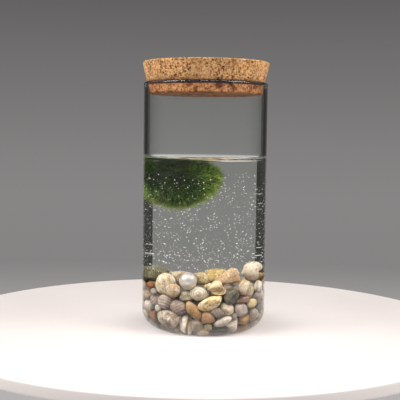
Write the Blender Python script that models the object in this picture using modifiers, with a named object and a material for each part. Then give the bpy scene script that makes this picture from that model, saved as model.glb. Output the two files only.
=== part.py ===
"""Marimo moss ball floating in a corked glass jar of water, over a bed of pebbles and shells.

Metres, +Z up. The origin is the middle of the jar's base on the surface it stands on, and the
front is -Y. Azimuths in the bed are degrees from the front, growing towards +X.
"""
import math

import bmesh
import bpy
import numpy as np
from mathutils import Matrix, Vector, noise

MM = 0.001
GAP = 0.3 * MM  # between pieces that touch
WELD = 0.00001  # joins a turned shape's seam and poles
TURN_STEPS = 48  # sides of every large turned piece

# Jar
JAR_RADIUS = 40.0 * MM
JAR_HEIGHT = 158.8 * MM
WALL = 2.6 * MM
BASE = 3.0 * MM
CORNER_RADIUS = 13.0 * MM
INNER_RADIUS = JAR_RADIUS - WALL
INNER_CORNER = CORNER_RADIUS - WALL
ARC_STEPS = 5  # straight runs in each rounded corner

# Cork: wide head over the rim, tapered plug in the neck
CORK_TOP = 171.9 * MM
CORK_BOTTOM = 151.3 * MM
CORK_HEAD_RADIUS = 41.0 * MM
CORK_RIM_RADIUS = 38.2 * MM
CORK_FOOT_RADIUS = 36.7 * MM
CORK_SEAT = 1.4 * MM  # height of the step from plug to head over the rim
CORK_EDGE = 0.5 * MM

# Water, and the moss ball that floats in it against the left wall
WATER_LEVEL = 109.0 * MM
WATER_FLOOR = 42.5 * MM  # underside of the free water, just over the stones
MOSS_CENTRE = Vector((-14.0, 0.0, 98.2)) * MM  # at its widest level
MOSS_RADIUS = 22.3 * MM
MOSS_DEPTH = 20.0 * MM  # widest level down to the lowest tips
MOSS_CROWN = 11.6 * MM  # widest level up to the matted top
MOSS_UNEVEN = 0.05  # share of its reach by which its outline wanders

# Gravel: fills the jar behind the front row of stones, with a top that rises to the back
GRAVEL_FRONT = 28.5 * MM
GRAVEL_BACK = 30.5 * MM
GRAVEL_CORE = 26.6 * MM
GRAVEL_SIDE = -3.0 * MM  # the front row of stones stays in front of this plane across Y

STONE_WAVE = 0.22  # how far a stone's outline wanders, as a share of its reach
STONE_FLATS = {  # flats worn or broken off each form, and how far from the middle they lie
    "round": {"count": 3, "nearest": 0.8, "farthest": 0.92},
    "wedge": {"count": 3, "nearest": 0.8, "farthest": 0.92},
    "angular": {"count": 7, "nearest": 0.62, "farthest": 0.85},
}
STONE_SWELL = 1.05  # stones start this much over size, so that they press flat on each other
HOME_PULL = 0.14  # share of its way home that a stone moves in each round of settling
STONE_PUSH = 0.22  # share of an overlap that a stone gives way to another in each round
SHELL_PUSH = 0.5  # the same to a shell or the pearl, which don't move
WALL_PUSH = 2.0  # the same to the glass and the gravel, by the mean move of its points
TURBAN_TURN = -66  # degrees its length is turned from lying along the wall
PEARL_RADIUS = 5.4 * MM
PEARL_PLACE = (-16.5, 31.6, 35.3)  # azimuth, radius, height
WHELK_MOUTH = Vector((1.9, 1.9, 2.6)) * MM  # across, out of the shell and up, from its middle
WHELK_MOUTH_SHIFT = (3.5, -0.4, -0.4)  # from the shell's front: azimuth, radius, height

COLOURS = {
    "glass": (0.78, 0.82, 0.80),
    "water": (0.70, 0.78, 0.76),
    "cork": (0.56, 0.36, 0.19),
    "moss": (0.07, 0.14, 0.02),
    "pearl": (0.78, 0.77, 0.74),
    "gravel": (0.42, 0.36, 0.30),
    "white": (0.70, 0.67, 0.58),
    "cream": (0.66, 0.57, 0.43),
    "tan": (0.55, 0.43, 0.29),
    "ochre": (0.47, 0.29, 0.12),
    "yellow": (0.58, 0.47, 0.21),
    "olive": (0.14, 0.14, 0.07),
    "mauve": (0.38, 0.31, 0.29),
    "grey": (0.36, 0.34, 0.32),
    "brown": (0.30, 0.17, 0.10),
    "charcoal": (0.08, 0.08, 0.07),
}

# Stones against the front wall, in millimetres and degrees:
# name, azimuth, height of the middle, (width, height, depth), tilt, form, colour
FRONT_ROW = (
    ("white_veined_pebble", -42, 30.3, (14.5, 14, 9), 20, "round", "white"),
    ("tan_nugget", -31, 28.9, (10, 8.2, 8), 8, "round", "tan"),
    ("crystal_chip", -20, 26, (8, 7.5, 7), 20, "angular", "white"),
    ("charcoal_cobble", 26.5, 26.8, (10, 10.5, 9), -10, "angular", "charcoal"),
    ("yellow_quartz", 6, 21.4, (15.5, 9, 9), 20, "angular", "yellow"),
    ("russet_chip", 42.5, 23.3, (10.2, 5.5, 8), 0, "angular", "brown"),
    ("beige_cobble", 47, 27.8, (9.4, 10, 7), 15, "round", "tan"),
    ("amber_finger", -9.5, 17.2, (13, 6.5, 7), -52, "round", "ochre"),
    ("left_striped_pebble", -55.5, 20.4, (9.2, 8.3, 8), 0, "round", "mauve"),
    ("middle_striped_pebble", -41.5, 19.8, (10.5, 9.3, 8), 20, "round", "mauve"),
    ("right_striped_pebble", -27, 20.4, (10.5, 8.5, 8), -20, "round", "mauve"),
    ("brown_wedge", -57, 11.6, (10, 7.8, 7), 0, "wedge", "brown"),
    ("notched_cobble", -38, 10.8, (16.5, 10.8, 9), 5, "angular", "grey"),
    ("ochre_striped_pebble", -18, 10.6, (8, 11.2, 8), 10, "round", "white"),
    ("tan_slip", -8, 8.2, (7.6, 6.5, 8), 25, "round", "grey"),
    ("pink_block", 5.5, 13.2, (8.2, 6.8, 7), 0, "angular", "ochre"),
    ("cream_toe", 1.3, 6.8, (7.2, 5, 7), 0, "round", "cream"),
    ("grey_oval", 13.3, 16.8, (8, 6, 7), -30, "round", "mauve"),
    ("cream_round", 25, 17.6, (9, 8.8, 8), 0, "round", "cream"),
    ("mauve_round", 40, 17.3, (10, 9.4, 8), 0, "round", "mauve"),
    ("cream_flake", 20, 11.7, (11, 5, 7), 18, "round", "white"),
    ("rough_charcoal", 17.5, 7.0, (12, 5.8, 8), 0, "angular", "charcoal"),
    ("speckled_wedge", 33, 8.2, (8.4, 8, 7), 0, "wedge", "cream"),
    ("golden_chip", 47, 12.0, (9, 6, 7), 15, "angular", "ochre"),
    ("low_brown_pebble", 49, 6.6, (10.5, 5, 7), 0, "round", "ochre"),
    ("yellow_pip", 55.5, 19.2, (8.6, 5.8, 6), 0, "round", "yellow"),
    ("orange_corner_stone", -67, 28.2, (10, 6.5, 8), 0, "angular", "ochre"),
    ("pale_side_pebble", -70, 15.8, (9.5, 8, 8), 0, "round", "cream"),
    ("low_side_pebble", -66, 7, (8.6, 5.5, 7), 0, "round", "mauve"),
    ("left_side_chip", -71, 22.6, (9.5, 6, 8), 0, "angular", "tan"),
    ("right_grey_pebble", 60, 13, (8.5, 8, 8), 0, "round", "mauve"),
    ("right_tan_pebble", 66, 7.8, (8.5, 6, 8), 0, "round", "tan"),
    ("right_side_chip", 74, 16, (10, 7, 8), 0, "angular", "grey"),
)

# Stones lying on top: name, azimuth, radius and height of the middle, then as above
TOP_LAYER = (
    ("olive_boulder", -97, 25.5, 34.9, (18, 10, 19), 0, "angular", "olive"),
    ("brown_backing_stone", -25, 22, 34.5, (13, 10, 8), 10, "round", "brown"),
    ("small_yellow_stone", -8, 15, 34.6, (10, 8, 9), -20, "round", "yellow"),
    ("large_yellow_stone", 100, 7, 35.0, (16, 8.5, 14), 12, "round", "yellow"),
    ("left_back_stone", -150, 20, 32.8, (11, 5.5, 9), 0, "round", "cream"),
    ("middle_back_stone", 170, 22, 32.8, (12, 5.5, 10), 0, "round", "mauve"),
    ("right_back_stone", 118, 26, 32.6, (11, 5.5, 9), 0, "angular", "tan"),
    ("triangular_fragment", 30, 24.5, 35.6, (17, 10, 7), 20, "wedge", "tan"),
)

# Shells: name, azimuth, radius and height of the middle, (width, height, depth), tilt, colour
SHELLS = {
    "limpet_shell": (-4.8, 34.2, 27.8, (10.2, 8.7, 3.6), 0, "white"),
    "whelk_shell": (12.4, 32.2, 31.3, (14.0, 9.0, 9.0), -12, "cream"),
    "turban_shell": (68, 29.6, 39.0, (15.0, 12.4, 12.4), 12, "white"),
    "clam_shell": (60, 29.5, 27.2, (11.5, 13.5, 5.0), 0, "tan"),
    "oyster_chip": (75, 33.0, 28.8, (8.0, 8.0, 5.0), 0, "white"),
}


def clear_scene():
    for item in list(bpy.data.objects):
        bpy.data.objects.remove(item, do_unlink=True)


def new_collection(name):
    made = bpy.data.collections.new(name)
    bpy.context.scene.collection.children.link(made)
    return made


def material(name, colour, roughness, **inputs):
    """A Principled material of its own for each piece."""
    made = bpy.data.materials.new(name)
    made.use_nodes = True
    shader = made.node_tree.nodes["Principled BSDF"]
    shader.inputs["Base Color"].default_value = (*COLOURS[colour], 1.0)
    shader.inputs["Roughness"].default_value = roughness
    shader.inputs["Metallic"].default_value = 0.0
    for label, value in inputs.items():
        shader.inputs[label.replace("_", " ")].default_value = value
    made.diffuse_color = (*COLOURS[colour], 1.0)
    return made


def add_object(name, mesh, collection, finish=None):
    made = bpy.data.objects.new(name, mesh)
    collection.objects.link(made)
    if finish:
        mesh.materials.append(finish)
    return made


def finish_bmesh(bm, name):
    """A mesh from the bmesh, round where its faces meet at less than 40 degrees."""
    mesh = bpy.data.meshes.new(name)
    bm.to_mesh(mesh)
    bm.free()
    mesh.shade_smooth()
    mesh.set_sharp_from_angle(angle=math.radians(40))
    return mesh


def arc(centre, radius, start, end, steps=ARC_STEPS):
    """Points (radius, height) along an arc about centre, angles in degrees from +X."""
    angles = (math.radians(start + (end - start) * i / steps) for i in range(steps + 1))
    return [(centre[0] + radius * math.cos(a), centre[1] + radius * math.sin(a)) for a in angles]


def turned(name, profile, collection, finish=None, steps=TURN_STEPS):
    """Screws a profile of (radius, height) points round Z, its outer side running downwards."""
    bm = bmesh.new()
    verts = [bm.verts.new((radius, 0.0, height)) for radius, height in profile]
    for upper, lower in zip(verts, verts[1:]):
        bm.edges.new((upper, lower))
    made = add_object(name, finish_bmesh(bm, name), collection, finish)
    screw = made.modifiers.new("Turn", "SCREW")
    screw.axis = "Z"
    screw.angle = math.tau
    screw.steps = screw.render_steps = steps
    screw.use_merge_vertices = True
    screw.merge_threshold = WELD
    screw.use_smooth_shade = True
    return made


def cut(target, cutter):
    """Takes the cutter out of the target."""
    cutter.hide_render = True
    cutter.display_type = "WIRE"
    boolean = target.modifiers.new("Cut " + cutter.name, "BOOLEAN")
    boolean.operation = "DIFFERENCE"
    boolean.solver = "EXACT"
    boolean.object = cutter


def inner_profile(inset, top):
    """The jar's inside, drawn in by inset, from its axis at the bottom up to height top."""
    floor = BASE + inset
    centre = (INNER_RADIUS - INNER_CORNER, BASE + INNER_CORNER)
    corner = arc(centre, INNER_CORNER - inset, -90, 0)
    return [(0.0, floor)] + corner + [(INNER_RADIUS - inset, top)]


def build_jar(parts):
    rim_radius = WALL / 2
    inside = inner_profile(0.0, JAR_HEIGHT - rim_radius)
    rim = arc((JAR_RADIUS - rim_radius, JAR_HEIGHT - rim_radius), rim_radius, 180, 0, steps=6)[1:]
    foot = arc((JAR_RADIUS - CORNER_RADIUS, CORNER_RADIUS), CORNER_RADIUS, 0, -90)
    finish = material("glass", "glass", 0.02, Transmission_Weight=1.0, IOR=1.47)
    turned("glass_jar", inside + rim + foot + [(0.0, 0.0)], parts, finish)


def build_cork(parts):
    plug = INNER_RADIUS - GAP
    profile = [
        (0.0, CORK_TOP),
        (CORK_HEAD_RADIUS - CORK_EDGE, CORK_TOP),
        (CORK_HEAD_RADIUS, CORK_TOP - CORK_EDGE),
        (CORK_RIM_RADIUS, JAR_HEIGHT + CORK_SEAT),
        (plug, JAR_HEIGHT - CORK_SEAT),
        (CORK_FOOT_RADIUS, CORK_BOTTOM + CORK_EDGE),
        (CORK_FOOT_RADIUS - CORK_EDGE, CORK_BOTTOM),
        (0.0, CORK_BOTTOM),
    ]
    turned("cork_stopper", profile, parts, material("cork", "cork", 0.85))


def moss_mesh(name, grow):
    """A bun: flat crown at the surface, deep round underside, gently uneven all over."""
    bm = bmesh.new()
    bmesh.ops.create_icosphere(bm, subdivisions=3, radius=1.0)
    for vert in bm.verts:
        uneven = 1.0 - MOSS_UNEVEN * (0.5 + 0.5 * noise.noise(vert.co * 1.7))
        height = MOSS_CROWN if vert.co.z > 0 else MOSS_DEPTH
        reach = Vector((MOSS_RADIUS, MOSS_RADIUS, height))
        place = Vector(a * b for a, b in zip(vert.co * uneven, reach))
        vert.co = MOSS_CENTRE + place + vert.co * grow
    return finish_bmesh(bm, name)


def build_moss(parts):
    add_object("moss_ball", moss_mesh("moss_ball", 0.0), parts, material("moss", "moss", 0.9))


def build_water(parts, cutters, pocket):
    """The free water over the bed, open round the moss ball and over the tallest shell."""
    radius = INNER_RADIUS - GAP
    profile = [(0.0, WATER_LEVEL), (radius, WATER_LEVEL), (radius, WATER_FLOOR), (0.0, WATER_FLOOR)]
    finish = material("water", "water", 0.0, Transmission_Weight=1.0, IOR=1.333)
    water = turned("water", profile, parts, finish)
    cut(water, add_object("moss_hollow", moss_mesh("moss_hollow", 2 * GAP), cutters))
    cut(water, pocket)


def build_gravel(parts, cutters):
    """The small stones as one body: whole behind, a core in front, its top rising backwards."""
    tall = GRAVEL_BACK + GRAVEL_CORE
    outside = inner_profile(GAP, tall)
    outside.reverse()
    profile = [(0.0, tall)] + outside
    gravel = turned("gravel_bed", profile, parts, material("gravel", "gravel", 0.7))

    core = turned(
        "core",
        [(0.0, 2 * tall), (GRAVEL_CORE, 2 * tall), (GRAVEL_CORE, -tall), (0.0, -tall)],
        cutters,
    )
    bm = bmesh.new()
    bmesh.ops.create_cube(bm, size=2 * tall)
    bmesh.ops.translate(bm, verts=bm.verts, vec=(0.0, GRAVEL_SIDE - tall, tall / 2))
    front = add_object("front_row_room", finish_bmesh(bm, "front_row_room"), cutters)
    cut(front, core)
    cut(gravel, front)

    bm = bmesh.new()
    bmesh.ops.create_cube(bm, size=4 * tall)
    bmesh.ops.translate(bm, verts=bm.verts, vec=(0.0, 0.0, 2 * tall))
    slope = math.atan2(GRAVEL_BACK - GRAVEL_FRONT, 2 * INNER_RADIUS)
    bmesh.ops.rotate(bm, verts=bm.verts, matrix=Matrix.Rotation(slope, 3, "X"))
    middle = (GRAVEL_FRONT + GRAVEL_BACK) / 2
    bmesh.ops.translate(bm, verts=bm.verts, vec=(0.0, 0.0, middle))
    cut(gravel, add_object("gravel_top", finish_bmesh(bm, "gravel_top"), cutters))


def gravel_height(y):
    share = (y + INNER_RADIUS) / (2 * INNER_RADIUS)
    return GRAVEL_FRONT + (GRAVEL_BACK - GRAVEL_FRONT) * share


def place_matrix(azimuth, tilt):
    """Turns width, depth and height to across, outwards and up at this azimuth."""
    facing = Matrix.Rotation(math.radians(azimuth), 3, "Z")
    return facing @ Matrix.Rotation(-math.radians(tilt), 3, "Y")


def middle_of(azimuth, radius, height):
    angle = math.radians(azimuth)
    return np.array((radius * math.sin(angle), -radius * math.cos(angle), height)) * MM


def stone_points(seed, form, size, turn):
    """Corner points of one stone about its middle: a worn pebble, a broken lump or a wedge."""
    bm = bmesh.new()
    if form == "wedge":
        bmesh.ops.create_cone(
            bm, cap_ends=True, segments=3, radius1=1.0, radius2=0.9, depth=1.4,
            matrix=Matrix.Rotation(math.radians(90), 4, "X") @ Matrix.Rotation(math.pi / 2, 4, "Z"),
        )
        bmesh.ops.bevel(
            bm, geom=list(bm.edges), offset=0.24, offset_type="OFFSET", affect="EDGES",
            segments=2, profile=0.5, clamp_overlap=True, material=-1,
        )
    else:
        bmesh.ops.create_icosphere(bm, subdivisions=2, radius=1.0)
    offset = Vector((seed * 3.1, seed * 1.7, seed * 0.9))
    wave = [1.0 + STONE_WAVE * noise.noise(vert.co * 1.2 + offset) for vert in bm.verts]
    points = np.array([vert.co * share for vert, share in zip(bm.verts, wave)])
    bm.free()
    rng = np.random.default_rng(seed)
    flats = STONE_FLATS[form]
    for _ in range(flats["count"]):
        normal = rng.normal(size=3)
        normal /= np.linalg.norm(normal)
        depth = rng.uniform(flats["nearest"], flats["farthest"])
        beyond = np.clip(points @ normal - depth, 0.0, None)
        points -= beyond[:, None] * normal
    points -= (points.max(axis=0) + points.min(axis=0)) / 2
    points *= STONE_SWELL * 0.5 * MM * np.array((size[0], size[2], size[1])) / points.max(axis=0)
    return points @ np.array(turn).T


def new_stone(name, seed, azimuth, radius, height, size, tilt, form, colour, row):
    turn = place_matrix(azimuth, tilt)
    points = stone_points(seed, form, size, turn)
    outward = middle_of(azimuth, 1 / MM, 0)
    if row == "front":
        radius = (INNER_RADIUS - GAP - (points @ outward).max()) / MM
    middle = middle_of(azimuth, radius, height)
    return {
        "name": name, "points": points, "middle": middle, "home": middle.copy(),
        "outward": outward, "row": row, "colour": colour,
    }


def all_stones():
    stones = []
    for seed, row in enumerate(FRONT_ROW, start=1):
        name, azimuth, height, size, tilt, form, colour = row
        stones.append(new_stone(name, seed, azimuth, 0, height, size, tilt, form, colour, "front"))
    for seed, row in enumerate(TOP_LAYER, start=len(FRONT_ROW) + 1):
        name, azimuth, radius, height, size, tilt, form, colour = row
        stones.append(
            new_stone(name, seed, azimuth, radius, height, size, tilt, form, colour, "top")
        )
    return stones


def fixed_bodies(solids):
    """What the stones settle round: the shells and the pearl, which stay where they are put."""
    bodies = []
    depsgraph = bpy.context.evaluated_depsgraph_get()
    for solid in solids:
        mesh = solid.evaluated_get(depsgraph).data
        points = np.array([solid.matrix_world @ vert.co for vert in mesh.vertices])
        middle = (points.max(axis=0) + points.min(axis=0)) / 2
        bodies.append({"points": points - middle, "middle": middle})
    return bodies


def wall_radius(height):
    """Inner radius of the jar at a height, less the gap, with its rounded bottom corner."""
    below = np.clip(BASE + INNER_CORNER - height, 0.0, INNER_CORNER - GAP)
    corner = np.sqrt((INNER_CORNER - GAP) ** 2 - below ** 2)
    return INNER_RADIUS - INNER_CORNER + corner


def push_inside(points, stone):
    """Moves each point inside the jar and clear of the gravel."""
    points[:, 2] = np.clip(points[:, 2], BASE + GAP, WATER_FLOOR - GAP)
    if stone["row"] == "top":
        points[:, 2] = np.maximum(points[:, 2], gravel_height(points[:, 1]) + GAP)
    else:
        points[:, 1] = np.minimum(points[:, 1], GRAVEL_SIDE - GAP)
        short = np.clip(GRAVEL_CORE + GAP - points @ stone["outward"], 0.0, None)
        points += short[:, None] * stone["outward"]
    radius = np.hypot(points[:, 0], points[:, 1])
    limit = wall_radius(points[:, 2]) * math.cos(math.pi / TURN_STEPS)
    points[:, :2] *= np.minimum(1.0, limit / np.maximum(radius, WELD))[:, None]
    return points


def directions(count=160):
    """Evenly spread unit vectors, each with its opposite."""
    index = np.arange(count // 2) + 0.5
    height = 1.0 - index / (count // 2)
    turn = math.pi * (1 + math.sqrt(5)) * index
    flat = np.sqrt(1 - height ** 2)
    half = np.stack([flat * np.cos(turn), flat * np.sin(turn), height], axis=1)
    return np.concatenate([half, -half])


def separations(bodies, ways):
    """For every pair, the widest gap (or least overlap) and the way it is measured along."""
    reach = np.array([(body["points"] @ ways.T).max(axis=0) for body in bodies])
    middles = np.array([body["middle"] for body in bodies])
    apart = np.einsum("ijk,wk->ijw", middles[None] - middles[:, None], ways)
    half = len(ways) // 2
    opposite = np.concatenate([reach[:, half:], reach[:, :half]], axis=1)
    space = apart - reach[:, None] - opposite[None]
    best = space.argmax(axis=2)
    return np.take_along_axis(space, best[..., None], axis=2)[..., 0], best, reach


def settle(stones, fixed, rounds=150):
    """Shoulders overlapping stones apart, keeping each near the place it was put."""
    bodies = stones + fixed
    ways = directions()
    for _ in range(rounds):
        space, best, _ = separations(bodies, ways)
        for i, stone in enumerate(stones):
            move = HOME_PULL * (stone["home"] - stone["middle"])
            for j in range(len(bodies)):
                if j != i and space[i, j] < GAP:
                    share = STONE_PUSH if j < len(stones) else SHELL_PUSH
                    move -= share * (GAP - space[i, j]) * ways[best[i, j]]
            moved = stone["middle"] + move
            inside = push_inside(stone["points"] + moved, stone)
            squeeze = (inside - stone["points"] - moved).mean(axis=0)
            stone["middle"] = moved + WALL_PUSH * squeeze
    return bodies, ways


def trim(stones, bodies, ways):
    """Flattens what still overlaps, half off each stone, so neighbours meet face to face."""
    space, best, reach = separations(bodies, ways)
    for i, stone in enumerate(stones):
        points = push_inside(stone["points"] + stone["middle"], stone)
        for j, other in enumerate(bodies):
            if j == i or space[i, j] >= GAP:
                continue
            way = ways[best[i, j]]
            if j < len(stones):
                edge = stone["middle"] @ way + reach[i, best[i, j]] - (GAP - space[i, j]) / 2
            else:
                edge = (other["middle"] @ way) - (other["points"] @ -way).max() - GAP
            beyond = np.clip(points @ way - edge, 0.0, None)
            points -= beyond[:, None] * way
        stone["trimmed"] = points


def build_stones(parts, solids):
    """Each stone is the convex hull of its settled and trimmed points."""
    stones = all_stones()
    bodies, ways = settle(stones, fixed_bodies(solids))
    trim(stones, bodies, ways)
    for stone in stones:
        bm = bmesh.new()
        for point in stone["trimmed"]:
            bm.verts.new(point)
        hull = bmesh.ops.convex_hull(bm, input=bm.verts)
        loose = {item for key in ("geom_interior", "geom_unused") for item in hull[key]}
        inner = [item for item in loose if isinstance(item, bmesh.types.BMVert)]
        bmesh.ops.delete(bm, geom=inner, context="VERTS")
        bmesh.ops.remove_doubles(bm, verts=bm.verts, dist=0.05 * MM)
        bmesh.ops.dissolve_degenerate(bm, edges=bm.edges, dist=0.02 * MM)
        bmesh.ops.triangulate(bm, faces=bm.faces)
        bmesh.ops.recalc_face_normals(bm, faces=bm.faces)
        finish = material(stone["name"], stone["colour"], 0.45)
        add_object(stone["name"], finish_bmesh(bm, stone["name"]), parts, finish)


def build_pearl(parts):
    bm = bmesh.new()
    bmesh.ops.create_uvsphere(bm, u_segments=20, v_segments=12, radius=PEARL_RADIUS)
    finish = material("pearl", "pearl", 0.15, Coat_Weight=0.6)
    pearl = add_object("pearl_bead", finish_bmesh(bm, "pearl_bead"), parts, finish)
    pearl.location = Vector(middle_of(*PEARL_PLACE))
    return pearl


def height_share(name):
    width, height, _ = SHELLS[name][3]
    return height / width


def put_shell(shell, name):
    """Stands a shell modelled with its axis up +Z where it lies, that axis pointing outwards."""
    azimuth, radius, height, _, tilt, _ = SHELLS[name]
    shell.location = Vector(middle_of(azimuth, radius, height))
    outwards = Matrix.Rotation(math.radians(90), 3, "X")
    shell.rotation_euler = (place_matrix(azimuth, tilt) @ outwards).to_euler()
    shell.scale.y = height_share(name)


def shell_finish(name):
    return material(name, SHELLS[name][5], 0.35)


def build_limpet(parts):
    """A low cone with growth rings, its point towards the wall."""
    width, _, depth = SHELLS["limpet_shell"][3]
    radius = width / 2 * MM
    rise = depth * MM
    rings = 3
    profile = [(0.0, rise / 2)]
    for ring in range(1, rings + 1):
        level = rise / 2 - rise * 0.7 * ring / rings
        profile.append((radius * (ring - 0.35) / rings, level + 0.12 * rise))
        profile.append((radius * (ring - 0.15) / rings, level))
    profile += [(radius, -0.35 * rise), (0.85 * radius, -rise / 2), (0.0, -0.15 * rise)]
    limpet = turned("limpet_shell", profile, parts, shell_finish("limpet_shell"), steps=16)
    put_shell(limpet, "limpet_shell")
    return limpet


def whorls(length, radius, lobes):
    """Half outline of a snail shell along its axis, lobes growing to the body whorl."""
    outline = [(0.0, length / 2)]
    reach = 0.0
    for lobe in range(lobes):
        grown = radius * ((lobe + 1) / lobes) ** 1.1
        top = length / 2 - length * 0.62 * (lobe + 0.5) / lobes
        outline.append(((reach + grown) / 2, top + 0.1 * length / lobes))
        outline.append((grown, top - 0.16 * length / lobes))
        outline.append((grown * 0.93, top - 0.36 * length / lobes))
        reach = grown * 0.93
    outline += [(0.72 * radius, -0.3 * length), (0.28 * radius, -0.46 * length)]
    return outline + [(0.0, -length / 2)]


def build_whelk(parts, cutters):
    """Lies along the wall, with a crescent mouth on its outward side."""
    width, height, _ = SHELLS["whelk_shell"][3]
    azimuth, radius, level, _, tilt, _ = SHELLS["whelk_shell"]
    outline = whorls(width * MM, height / 2 * MM, 3)
    whelk = turned("whelk_shell", outline, parts, shell_finish("whelk_shell"), steps=16)
    along = Matrix.Rotation(math.radians(-90), 3, "Y")
    turn = place_matrix(azimuth, tilt) @ along
    whelk.location = Vector(middle_of(azimuth, radius, level))
    whelk.rotation_euler = turn.to_euler()

    bm = bmesh.new()
    bmesh.ops.create_icosphere(bm, subdivisions=2, radius=1.0)
    bmesh.ops.scale(bm, verts=bm.verts, vec=WHELK_MOUTH)
    mouth = add_object("whelk_mouth", finish_bmesh(bm, "whelk_mouth"), cutters)
    front = (azimuth, radius + height / 2, level)
    mouth_place = [start + shift for start, shift in zip(front, WHELK_MOUTH_SHIFT)]
    mouth.location = Vector(middle_of(*mouth_place))
    cut(whelk, mouth)
    return whelk


def build_turban(parts):
    width, height, _ = SHELLS["turban_shell"][3]
    azimuth, radius, level, _, tilt, _ = SHELLS["turban_shell"]
    outline = whorls(width * MM, height / 2 * MM, 3)
    turban = turned("turban_shell", outline, parts, shell_finish("turban_shell"), steps=16)
    along = Matrix.Rotation(math.radians(-90), 3, "Y")
    turban.location = Vector(middle_of(azimuth, radius, level))
    turban.rotation_euler = (place_matrix(azimuth + TURBAN_TURN, tilt) @ along).to_euler()
    return turban


def valve_profile(radius, rise, thickness):
    """A thin dome: outer curve down to the lip, then back up inside."""
    steps = 4
    outer = [
        (radius * math.sin(a), rise / 2 - rise * (1 - math.cos(a)))
        for a in (math.pi / 2 * i / steps for i in range(steps + 1))
    ]
    inner = [(max(r - thickness, 0.0), z - thickness) for r, z in reversed(outer[:-1])]
    lip = [(radius - thickness * 0.4, -rise / 2 - 0.2 * thickness)]
    return outer + lip + inner


def build_clam(parts):
    width, _, depth = SHELLS["clam_shell"][3]
    profile = valve_profile(width / 2 * MM, depth * MM, 1.1 * MM)
    clam = turned("clam_shell", profile, parts, shell_finish("clam_shell"), steps=16)
    put_shell(clam, "clam_shell")
    return clam


def build_oyster(parts):
    width, height, depth = SHELLS["oyster_chip"][3]
    profile = valve_profile(1.0, 1.0, 0.3)
    oyster = turned("oyster_chip", profile, parts, shell_finish("oyster_chip"), steps=16)
    put_shell(oyster, "oyster_chip")
    oyster.scale = (width / 2 * MM, height / 2 * MM, depth * MM)
    return oyster


def shell_pocket(cutters):
    """Room in the water's underside for the turban shell, which stands tallest in the bed."""
    azimuth, radius, height, size, tilt, _ = SHELLS["turban_shell"]
    bm = bmesh.new()
    bmesh.ops.create_icosphere(bm, subdivisions=2, radius=1.15)
    room = 0.5 * MM * Vector((size[0], size[2], size[1]))
    bmesh.ops.scale(bm, verts=bm.verts, vec=room)
    bmesh.ops.rotate(bm, verts=bm.verts, matrix=place_matrix(azimuth + TURBAN_TURN, tilt))
    bmesh.ops.translate(bm, verts=bm.verts, vec=Vector(middle_of(azimuth, radius, height)))
    return add_object("shell_pocket", finish_bmesh(bm, "shell_pocket"), cutters)


def main():
    clear_scene()
    parts = new_collection("marimo_jar")
    cutters = new_collection("cutters")
    build_jar(parts)
    build_cork(parts)
    build_moss(parts)
    build_water(parts, cutters, shell_pocket(cutters))
    build_gravel(parts, cutters)
    solids = [
        build_pearl(parts),
        build_limpet(parts),
        build_whelk(parts, cutters),
        build_turban(parts),
        build_clam(parts),
        build_oyster(parts),
    ]
    bpy.context.view_layer.update()
    build_stones(parts, solids)


main()
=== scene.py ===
import math

import bmesh
import bpy
import numpy as np
from mathutils import Matrix, Vector, noise


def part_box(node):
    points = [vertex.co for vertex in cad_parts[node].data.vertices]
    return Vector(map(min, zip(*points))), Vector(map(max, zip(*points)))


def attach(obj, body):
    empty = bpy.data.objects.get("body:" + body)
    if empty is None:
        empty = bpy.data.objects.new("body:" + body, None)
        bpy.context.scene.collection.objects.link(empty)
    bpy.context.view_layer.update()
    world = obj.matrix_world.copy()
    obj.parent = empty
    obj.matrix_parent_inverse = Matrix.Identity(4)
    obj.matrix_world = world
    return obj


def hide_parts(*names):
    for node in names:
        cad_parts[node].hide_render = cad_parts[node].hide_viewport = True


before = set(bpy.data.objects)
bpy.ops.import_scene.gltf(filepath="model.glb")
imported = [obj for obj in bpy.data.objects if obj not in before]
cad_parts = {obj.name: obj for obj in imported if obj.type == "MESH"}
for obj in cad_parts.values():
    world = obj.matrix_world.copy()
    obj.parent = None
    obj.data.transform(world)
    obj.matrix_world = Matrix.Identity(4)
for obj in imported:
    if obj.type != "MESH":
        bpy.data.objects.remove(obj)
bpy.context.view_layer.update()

mm = 0.001
wallGap = 0.3 * mm  # between the glass and what rests against it
waveScale = 0.314  # a wave texture at this over a length repeats once in that length


def shade(red, green, blue):  # a colour as seen on a screen, 0 to 255, for a shader
    def linear(value):
        value /= 255
        return value / 12.92 if value <= 0.04045 else ((value + 0.055) / 1.055) ** 2.4
    return (linear(red), linear(green), linear(blue), 1.0)


def plug(tree, socket, value):  # a link where the value is another node's output
    if isinstance(value, bpy.types.NodeSocket):
        tree.links.new(value, socket)
    else:
        socket.default_value = value


def addNode(tree, kind, inputs=None, **settings):
    made = tree.nodes.new("ShaderNode" + kind)
    for key, value in settings.items():
        setattr(made, key, value)
    for key, value in (inputs or {}).items():
        plug(tree, made.inputs[key], value)
    return made


def newFinish(name, **inputs):
    finish = bpy.data.materials.new(name)
    finish.use_nodes = True
    tree = finish.node_tree
    shader = tree.nodes["Principled BSDF"]
    for key, value in inputs.items():
        shader.inputs[key.replace("_", " ")].default_value = value
    return finish, tree, shader


def place(tree):  # where the shaded point is, in metres
    return addNode(tree, "TexCoord").outputs["Object"]


def patches(tree, where, size, detail=3.0, distortion=0.0, seed=0.0):  # soft noise, size in metres
    spot = addNode(tree, "Mapping", {"Vector": where, "Location": (seed, seed * 0.37, -seed)})
    return addNode(tree, "TexNoise", {
        "Vector": spot.outputs[0], "Scale": 1 / size, "Detail": detail, "Distortion": distortion,
    }).outputs[0]


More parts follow.
